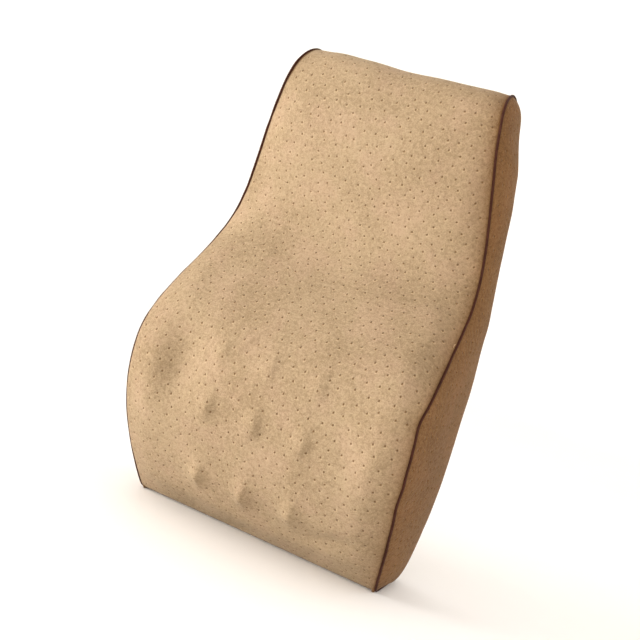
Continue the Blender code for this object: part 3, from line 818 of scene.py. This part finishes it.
def band_surface(s, x, path_s, path, normal):
    """Point of the band at a distance s along the outline and x across it, which is outline + normal * rise,
    its distance from the nearer seam, and the normal there."""
    y = np.interp(s, path_s, path[:, 0])
    z = np.interp(s, path_s, path[:, 1])
    ny = np.interp(s, path_s, normal[:, 0])
    nz = np.interp(s, path_s, normal[:, 1])
    size = form()
    seam = np.maximum(half_width(z) - np.abs(x), 0)
    front = smooth_step(0.15, 0.75, -ny)
    top = smooth_step(0.2, 0.8, nz)
    back = smooth_step(0.6, 1.0, ny)
    base = smooth_step(0.5, 0.95, -nz)
    floor_fade = smooth_step(0.0, 0.035, z)
    from_zip = np.abs(z - size.zip_height)
    right = smooth_step(0.0, 0.05, x)
    lumbar = smooth_step(0.03, 0.09, z) * smooth_step(0.30, 0.24, z)
    head_fade = 1 - 0.80 * smooth_step(0.385, 0.450, z)
    full = cover().swell * front * head_fade * (0.35 + 0.65 * floor_fade) * (1 + 0.35 * right * lumbar)
    full = full + cover().swell * top * (0.12 - 0.06 * right)
    back_swell = 0.0016
    full = full + back_swell * back * smooth_step(0.008, 0.05, from_zip)
    rise = full * swell_share(np.stack([x, y, z], -1), seam, cover().swell_reach)
    outward = x / half_width(z)
    middle_crown = 0.008
    rise = rise + middle_crown * front * head_fade * floor_fade * (1 - outward ** 2)
    rise = rise + front_relief(x, z, front * (ny < 0))
    rise = rise + seam_pucker(seam, s, 5) * (1 - base)
    rise = rise + 0.0007 * value_noise(s, x, 0.036, 8) * (1 - base) * smooth_step(0, 0.02, seam)
    rise = rise + 0.0013 * value_noise(x, s, 0.045, 9) * top * smooth_step(0, 0.02, seam)
    rise = rise + 0.0020 * np.exp(-((x + 0.072) / 0.018) ** 2) * top
    rise = rise + 0.005 * right * front * outward * (1 - outward) * smooth_step(0.24, 0.34, z)
    rise = rise * (1 - base)
    near = seam / 0.006  # the roll is widest this far from the seam
    rolled = near * np.exp(1 - near) * front * smooth_step(0.40, 0.30, z)
    left = (x < 0) * smooth_step(0.33, 0.28, z)
    x = x + np.sign(x) * cover().roll * rolled * (0.25 + 0.75 * left)
    return np.stack([x, y + ny * rise, z + nz * rise], -1), seam, np.stack([ny, nz], -1)


def uneven_steps(path_s, normal):
    """Distances along the outline: fine steps on the front, head and base, wider ones on the back."""
    size = cover()
    pitch = size.grid + (size.back_grid - size.grid) * smooth_step(0.9, 1.0, normal[:, 0])
    number = np.concatenate([[0], np.cumsum(np.diff(path_s) / pitch[1:])])
    count = int(number[-1]) + 1
    return np.interp(np.linspace(0, number[-1], count), number, path_s)


def make_wrap():
    """The band of suede as a closed sheet: a fine outer face and a coarse inner face, joined round their
    edges."""
    size = cover()
    gap = form().zip_opening / 2
    path_s, path, normal = outline(gap, gap)
    steps = uneven_steps(path_s, normal)
    blocks, block = 50, 4
    columns = blocks * block + 1
    across = np.linspace(-1, 1, columns)
    edge = form().piping_radius * 0.35  # the band stops this far inside the seam
    z = np.interp(steps, path_s, path[:, 1])
    s = np.repeat(steps[:, None], columns, 1)
    x = (half_width(z) - edge)[:, None] * across
    inside = np.abs(x) < (half_width(z) - HOLE_MARGIN)[:, None]
    inside = inside & (s > SLOT_MARGIN) & (s < path_s[-1] - SLOT_MARGIN)
    hole_offset, depth = punch(x, s, 31, inside)
    points, seam, facing = band_surface(s, x, path_s, path, normal)
    outward = np.concatenate([np.zeros_like(facing[..., :1]), facing], -1)
    points = close_slot_ends(points, s, path_s[-1])
    points += depth[..., None] * outward
    points -= tuck(seam)[..., None] * outward
    points[..., 2] = np.maximum(points[..., 2], 0.0)
    points = settle(points)
    inner = points[:, ::block] - size.fabric * outward[:, ::block]
    right_painted_shade, left_painted_shade = 0.85, 0.15  # painted shade beside each seam: strong on the right, which turns from the light, slight on the left
    dark = np.where(points[..., 0] > 0, right_painted_shade, left_painted_shade) * np.exp(-seam / 0.009)
    # Painted shade over the upper right front, above the waist, where the surface turns away from the light.
    above = smooth_step(0.19, 0.26, points[..., 2]) * (facing[..., 0] < 0)
    dark = dark + 0.16 * above * smooth_step(0.0, 0.04, points[..., 0]) * np.exp(-seam / 0.040)
    faces = cloth_faces(len(steps), columns, block)
    add_suede("cover_band", "wrap_panel", points, inner, faces, hole_offset, seam, dark, 0.0)


def add_suede(name, node, points, inner, faces, hole_offset, seam, painted_shade, inner_painted_shade):
    """A padded piece of suede from its outer and inner grids. The inner grid has no holes."""
    outer_count = seam.size
    total = outer_count + inner.size // 3
    hole = np.full((total, 3), NO_HOLE)
    hole[:outer_count] = hole_offset.reshape(-1, 3)
    attributes = {"hole": hole}
    # each point's share of the painted shade colour goes to the mesh as an attribute
    for key, values, inner_value in (("seam", seam, 0.0), ("painted_shade", painted_shade, inner_painted_shade)):
        attributes[key] = np.full(total, inner_value)
        attributes[key][:outer_count] = values.ravel()
    mesh = new_mesh(name, np.concatenate([points.reshape(-1, 3), inner.reshape(-1, 3)]), faces,
                    attributes=attributes)
    piece = add_piece(name, mesh, suede_material(), nodes=[node])


def close_slot_ends(points, s, total):
    """Draw the slot's edges together beyond the ends of the zip, where the seam is sewn shut."""
    size = form()
    reach = size.zip_opening / 2 - 0.0002
    beyond = smooth_step(TEETH_END + 0.008, TEETH_END + 0.016, np.abs(points[..., 0]))
    near_start = np.clip(1 - s / 0.02, 0, 1) ** 2
    near_end = np.clip(1 - (total - s) / 0.02, 0, 1) ** 2
    points[..., 2] += reach * beyond * (near_end - near_start)
    return points


def side_rows():
    """Heights of a side panel's rows, and the back and front of each, at even steps along the front."""
    size = form()
    radius = size.head_depth / 2
    shoulder = size.height - radius
    z = np.linspace(0, size.height - 0.0003, 4000)
    lift = np.clip((z - shoulder) / radius, 0, 1)
    half = radius * np.sqrt(1 - lift ** 2)
    fore = np.where(z > shoulder, size.back - radius - half, size.back - front_depth(z))
    low = np.clip(1 - z / size.back_corner, 0, 1)
    rear = size.back - size.back_corner * (1 - np.sqrt(1 - low ** 2))
    rear = np.where(z > shoulder, size.back - radius + half, rear)
    length = np.concatenate([[0], np.cumsum(np.hypot(np.diff(fore), np.diff(z)))])
    count = int(length[-1] / cover().grid) + 1
    even = np.linspace(0, length[-1], count)
    return (np.interp(even, length, value) for value in (z, rear, fore))


def make_side(word, side):
    """A side panel as a closed sheet: straight from back to front along each row, crowned outwards by a
    parabola, with a steeper rise beside its seams."""
    size = form()
    heights, rear, fore = side_rows()
    columns = 81
    share = np.linspace(0, 1, columns)
    y = rear[:, None] + (fore - rear)[:, None] * share
    z = np.repeat(heights[:, None], columns, 1)
    depth = (rear - fore)[:, None]
    inside = np.minimum(y - fore[:, None], rear[:, None] - y) > HOLE_MARGIN
    inside = inside & (z > 0.006) & (z < size.height - 0.008)
    hole_offset, dimple = punch(y, z, 77 + side, inside)
    seam = np.minimum(np.minimum(rear[:, None] - y, y - fore[:, None]), np.minimum(z, size.height - z))
    seam = np.maximum(seam, 0)
    fade = 0.45 + 0.55 * np.sin(np.pi / 2 * np.clip(z / 0.030, 0, 1))
    fade = fade * smooth_step(0, 0.010, z) * smooth_step(0, 0.075, depth)
    high = smooth_step(0.410, 0.455, z)
    crown = size.side_crown * fade * (0.62 + 0.38 * smooth_step(0.28, 0.43, z)) * 4 * share * (1 - share)
    crown = crown * (1 - 0.30 * high)
    grid = np.stack([side * half_width(z), y, z], -1)
    crown = crown + 0.0030 * (1 - 0.5 * high) * swell_share(grid, seam, 0.006) + seam_pucker(seam, z + y, 15)
    crown = crown + 0.0008 * value_noise(z, y, 0.034, 19 + side) * smooth_step(0, 0.015, seam)
    crown = crown - tuck(seam) + dimple
    x = side * (half_width(z) + crown)
    points = settle(np.stack([x, y, z], -1))
    block = 8
    inner = points[:, ::block].copy()
    inner[..., 0] -= side * cover().fabric
    faces = cloth_faces(len(heights), columns, block)
    if side > 0:
        faces = [face[:, ::-1] for face in faces]
    nap = 1.0 if side > 0 else 0.5  # share of the painted shade colour: full on the right panel, which lies in shade, half on the left, which faces the light
    add_suede(f"cover_side_{word}", f"side_panel_{word}", points, inner, faces, hole_offset, seam,
              np.full(seam.shape, nap), nap)


def make_piping(word, side):
    """Piping round one side seam: a tube on the outline, strayed a little in and out as sewing leaves it."""
    size = form()
    path_s, path, normal = outline(OUTLINE_GAP / 2, 0.0)
    keep = np.arange(0, len(path_s) - 2, 3)
    s, path, normal = path_s[keep], path[keep], normal[keep]
    lift = (1.1 * size.piping_radius + 0.0003) * np.clip(1 - path[:, 1] / size.back_corner, 0, 1)
    stray = 0.0005 * value_noise(s, s * 0 + side, 0.045, 41)
    stray = stray + 0.0002 * value_noise(s, s * 0, 0.012, 42 + side)
    x = side * (half_width(path[:, 1]) + 0.0002 + stray)
    proud = path + 0.0003 * normal
    points = settle(np.stack([x, proud[:, 0], proud[:, 1] + lift], 1))
    radius = size.piping_radius * (1 + 0.05 * value_noise(s, s * 0, 0.02, 43))
    sides = 12
    verts, faces = tube(points, radius, sides)
    around = np.tile(np.arange(sides) / sides, len(s))
    uv = np.stack([np.repeat(s, sides), around], 1)
    mesh = new_mesh(f"piping_{word}_cord", verts, [faces], corner_uv=uv)
    add_piece(f"piping_{word}_cord", mesh, piping_material(), nodes=[f"piping_{word}"])


def stitches(start, end, out, length=0.0032, gap=0.0011, thread=0.00032):
    """A row of stitches from start to end: each is a short tube that bows out of the cloth as a half sine."""
    start, end, out = np.array(start), np.array(end), np.array(out)
    run = np.linalg.norm(end - start)
    ahead = (end - start) / run
    rings, sides = 7, 6
    share = np.linspace(0, 1, rings)
    bow = thread * (1.3 * np.sin(np.pi * share) - 0.5)
    points, faces, caps = [], [], []
    for number in range(int(run / (length + gap))):
        place = start + ahead * (number * (length + gap) + gap / 2)
        path = place + ahead * (share * length)[:, None] + out * bow[:, None]
        ring, wall = tube(path, thread, sides, closed=False, across=out)
        first = number * rings * sides
        points.append(ring)
        faces.append(wall + first)
        caps.append(first + np.arange(sides))
        caps.append(first + (rings - 1) * sides + np.arange(sides)[::-1])
    return np.concatenate(points), np.concatenate(faces), np.array(caps)


def make_stitching():
    """Two rows of stitches along each edge of the zip's slot, which hold the tape."""
    size = form()
    reach = TEETH_END + 0.006
    y = size.back + 0.0001
    for word, side in (("upper", 1), ("lower", -1)):
        for row, step in (("edge", 0.0025), ("hold", 0.0070)):
            z = size.zip_height + side * (size.zip_opening / 2 + step)
            points, walls, caps = stitches((-reach, y, z), (reach, y, z), (0, 1, 0))
            name = f"zip_{row}_stitches_{word}"
            add_piece(name, new_mesh(name, points, [walls, caps]), thread_material())


def make_piping_join():
    """A short thread end standing out of the right front seam where the piping was joined."""
    size = form()
    z = 0.240
    foot = np.array([float(half_width(z)) - 0.0015, size.back - float(front_depth(z)) - 0.0010, z])
    bend = np.array([(0.0, 0.0, 0.0), (-0.0006, -0.0010, 0.0008), (-0.0004, -0.0022, 0.0024),
                     (0.0004, -0.0028, 0.0040)])
    sides = 8
    ring, wall = tube(foot + bend, 0.00035, sides, closed=False)
    caps = np.array([np.arange(sides), (len(bend) - 1) * sides + np.arange(sides)[::-1]])
    add_piece("piping_join", new_mesh("piping_join", ring, [wall, caps]), thread_material())


# Inside ----------------------------------------------------------------------------------------------

def inner_skin(inset, first=0, flip=False, pocket=0.0):
    """A closed skin at an inset beneath the cover, as points and faces: rings of the outline at even widths
    and a flat cap on each side. Round each nub the front sinks by the pocket's depth, and the back sinks a
    little behind the zip."""
    path_s, path, normal = outline(OUTLINE_GAP, 0.0)
    rows, columns = 400, 97
    steps = np.linspace(0, path_s[-1], rows, endpoint=False)
    z = np.interp(steps, path_s, path[:, 1])
    x = (half_width(z) - inset)[:, None] * np.linspace(-1, 1, columns)
    points, _, facing = band_surface(np.repeat(steps[:, None], columns, 1), x, path_s, path, normal)
    depth = np.full(x.shape, inset)
    for nub_x, nub_z, _, _ in nub_places():
        away = np.hypot(points[..., 0] - nub_x, points[..., 2] - nub_z)
        depth += pocket * (1 - smooth_step(0.0120, 0.0145, away)) * (facing[..., 0] < -0.3)
    from_zip = np.abs(points[..., 2] - form().zip_height)
    depth += 0.0015 * (1 - smooth_step(0.009, 0.013, from_zip)) * (facing[..., 0] > 0.9)
    points[..., 1:] -= depth[..., None] * facing
    corner = np.arange(rows)[:, None] * columns + np.arange(columns - 1)
    below = (np.arange(rows)[:, None] + 1) % rows * columns + np.arange(columns - 1)
    walls = first + np.stack([corner, corner + 1, below + 1, below], -1).reshape(-1, 4)
    rim = first + np.arange(rows)[None] * columns
    caps = [rim, (rim + columns - 1)[:, ::-1]]
    faces = [walls, *caps]
    if flip:
        faces = [face[:, ::-1] for face in faces]
    return points.reshape(-1, 3), faces


def front_shift(x, z):
    """How far the cover at a place on the front stands from the frame's plain form."""
    path_s, path, normal = outline(OUTLINE_GAP, 0.0)
    front = normal[:, 0] < -0.3
    s = np.array([[np.interp(-z, -path[front, 1], path_s[front])]])
    point, _, _ = band_surface(s, np.array([[x]]), path_s, path, normal)
    plain = np.array([x, np.interp(s[0, 0], path_s, path[:, 0]), np.interp(s[0, 0], path_s, path[:, 1])])
    return point[0, 0] - plain


def make_foam():
    """The foam block fills the cover, with a pocket for each nub."""
    low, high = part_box("massage_nub_1_1")
    points, faces = inner_skin(0.0046, pocket=high[1] - low[1] + 0.001)
    mesh = new_mesh("foam_block", points, faces)
    foam = plain_material("foam", finish().foam, 0.95, 700.0, 0.08, bump_distance=0.0004)
    piece = add_piece("foam_block", mesh, foam, nodes=["foam_core"])


def make_liner():
    """The knitted liner: a thin closed skin between foam and cover."""
    outer, outer_faces = inner_skin(0.0029)
    inner, inner_faces = inner_skin(0.0035, first=len(outer), flip=True)
    mesh = new_mesh("knitted_liner", np.concatenate([outer, inner]), [*outer_faces, *inner_faces])
    knit = plain_material("knit", finish().liner, 0.9, 900.0, 0.05)
    add_piece("knitted_liner", mesh, knit, nodes=["inner_liner"])


def make_nubs():
    """Each nub keeps its form and moves out with the cover that it presses on."""
    rubber = plain_material("rubber", finish().rubber, 0.5, 600.0, 0.15)
    for x, z, row, column in nub_places():
        node = f"massage_nub_{row}_{column}"
        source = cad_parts[node]
        mesh = source.data.copy()
        mesh.transform(Matrix.Translation(NUB_SHARE * Vector(front_shift(x, z))) @ source.matrix_world)
        mesh.materials.clear()
        add_piece(f"pressed_nub_{row}_{column}", mesh, rubber, nodes=[node])


# Operators -------------------------------------------------------------------------------------------

class CUSHION_OT_stage(bpy.types.Operator):
    """Floor and backdrop in one sweep, soft lights and the camera"""
    bl_idname = "cushion.stage"
    bl_label = "Stage"

    def execute(self, context):
        make_sweep()
        make_lights()
        make_camera()
        return {"FINISHED"}


def make_sweep():
    """A round floor that curves up into a pale wall all round: a profile turned about the middle."""
    flat, bend, wall = 1.9, 1.1, 2.2
    angle = np.linspace(0, np.pi / 2, 24)
    radius = np.concatenate([[0.0, 0.4, 1.0, flat], flat + bend * np.sin(angle[1:]), [flat + bend]])
    height = np.concatenate([[0.0] * 4, bend * (1 - np.cos(angle[1:])), [wall]])
    turn = np.linspace(0, 2 * np.pi, 97)
    points = np.stack([radius[:, None] * np.cos(turn), radius[:, None] * np.sin(turn),
                       np.repeat(height[:, None], len(turn), 1)], -1)
    points[:, -1] = points[:, 0]
    mesh = new_mesh("studio_sweep", points.reshape(-1, 3), [quads(len(radius), len(turn))])
    sweep = bpy.data.objects.new("studio_sweep", mesh)
    bpy.context.scene.collection.objects.link(sweep)
    mesh.materials.append(plain_material("studio_paper", finish().paper, 0.9, 30.0, 0.005))


def add_light(name, place, aim, size, power, tint):
    data = bpy.data.lights.new(name, "AREA")
    data.shape = "RECTANGLE"
    data.size, data.size_y = size
    data.energy = power
    data.color = tint
    lamp = bpy.data.objects.new(name, data)
    lamp.location = place
    lamp.rotation_euler = (Vector(aim) - Vector(place)).to_track_quat("-Z", "Y").to_euler()
    bpy.context.scene.collection.objects.link(lamp)


def make_lights():
    """A large soft key from the left, low enough to reach the base, a weak front fill and a bright warm
    surround."""
    middle = (0.0, 0.0, 0.22)
    add_light("key", (-1.66, -0.95, 0.32), middle, (0.9, 0.9), 49.0, (1.0, 0.985, 0.97))
    add_light("fill", (0.3, -1.7, 0.35), (0.0, 0.0, 0.1), (1.4, 0.6), 12.0, (1.0, 0.98, 0.955))
    world = bpy.data.worlds.new("surround")
    bpy.context.scene.world = world
    world.use_nodes = True
    background = world.node_tree.nodes["Background"]
    background.inputs["Color"].default_value = (1.0, 0.935, 0.87, 1.0)
    background.inputs["Strength"].default_value = 1.14
    bpy.context.scene.view_settings.view_transform = "Standard"


def make_camera():
    """The camera stands in front and a little to the right of the cushion, turned about its own axis."""
    azimuth, elevation, roll = (math.radians(value) for value in (20.8, 2.6, 18.0))
    distance = 1.97 * form().height
    aim = Vector((0.0, form().back - 0.1 * form().height, 0.5 * form().height))
    back = Vector((math.sin(azimuth) * math.cos(elevation), -math.cos(azimuth) * math.cos(elevation),
                   math.sin(elevation)))
    right = (-back).cross(Vector((0.0, 0.0, 1.0))).normalized()
    up = right.cross(-back)
    turned_right = math.cos(roll) * right + math.sin(roll) * up
    turned_up = -math.sin(roll) * right + math.cos(roll) * up
    data = bpy.data.cameras.new("camera")
    data.lens = 54.0
    data.sensor_width = 36.0
    data.shift_x = -0.025
    data.shift_y = -0.023
    camera = bpy.data.objects.new("camera", data)
    turn = Matrix((turned_right, turned_up, back)).transposed()
    camera.matrix_world = Matrix.Translation(aim + distance * back) @ turn.to_4x4()
    bpy.context.scene.collection.objects.link(camera)
    bpy.context.scene.camera = camera


class CUSHION_OT_cover(bpy.types.Operator):
    """Suede band and side panels of the cover"""
    bl_idname = "cushion.cover"
    bl_label = "Cover"

    def execute(self, context):
        make_wrap()
        make_side("left", -1)
        make_side("right", 1)
        return {"FINISHED"}


class CUSHION_OT_piping(bpy.types.Operator):
    """Piping cords along both side seams"""
    bl_idname = "cushion.piping"
    bl_label = "Piping"

    def execute(self, context):
        make_piping("left", -1)
        make_piping("right", 1)
        return {"FINISHED"}


def dress(node, material):
    """Give a frame node's own mesh a material."""
    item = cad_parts[node]
    item.data.materials.clear()
    item.data.materials.append(material)


class CUSHION_OT_thread(bpy.types.Operator):
    """Stitching round the zip and the thread end at the piping's join"""
    bl_idname = "cushion.thread"
    bl_label = "Thread"

    def execute(self, context):
        make_stitching()
        make_piping_join()
        return {"FINISHED"}


class CUSHION_OT_inside(bpy.types.Operator):
    """Foam, liner and massage nubs"""
    bl_idname = "cushion.inside"
    bl_label = "Inside"

    def execute(self, context):
        make_foam()
        make_liner()
        make_nubs()
        return {"FINISHED"}


class CUSHION_OT_zip(bpy.types.Operator):
    """Zip across the back"""
    bl_idname = "cushion.zip"
    bl_label = "Zip"

    def execute(self, context):
        tint = finish()
        tape = weave_material()
        teeth = plain_material("teeth", tint.teeth, 0.4, 500.0, 0.1)
        metal = plain_material("metal", tint.metal, 0.3, 400.0, 0.15, metallic=1.0)
        for word in ("upper", "lower"):
            dress(f"zip_tape_{word}", tape)
            dress(f"zip_teeth_{word}", teeth)
            dress(f"zip_top_stop_{word}", metal)
        for node in ("zip_bottom_stop", "zip_slider", "zip_pull_tab"):
            dress(node, metal)
        return {"FINISHED"}


class CUSHION_PT_panel(bpy.types.Panel):
    """Buttons for the cushion's pieces"""
    bl_label = "Lumbar Cushion"
    bl_idname = "CUSHION_PT_panel"
    bl_space_type = "VIEW_3D"
    bl_region_type = "UI"
    bl_category = "Cushion"

    def draw(self, context):
        for operator in OPERATORS:
            self.layout.operator(operator.bl_idname)


OPERATORS = (CUSHION_OT_stage, CUSHION_OT_cover, CUSHION_OT_piping, CUSHION_OT_thread, CUSHION_OT_inside,
             CUSHION_OT_zip)
GROUPS = (("cushion_form", CUSHION_PG_form), ("cushion_cover", CUSHION_PG_cover),
          ("cushion_finish", CUSHION_PG_finish))


def register():
    for name, group in GROUPS:
        bpy.utils.register_class(group)
        setattr(bpy.types.Scene, name, bpy.props.PointerProperty(type=group))
    for item in (*OPERATORS, CUSHION_PT_panel):
        bpy.utils.register_class(item)


def unregister():
    for item in (CUSHION_PT_panel, *reversed(OPERATORS)):
        bpy.utils.unregister_class(item)
    for name, group in reversed(GROUPS):
        delattr(bpy.types.Scene, name)
        bpy.utils.unregister_class(group)


def main():
    register()
    for operator in OPERATORS:
        group, name = operator.bl_idname.split(".")
        getattr(getattr(bpy.ops, group), name)()


if __name__ == "__main__":
    main()
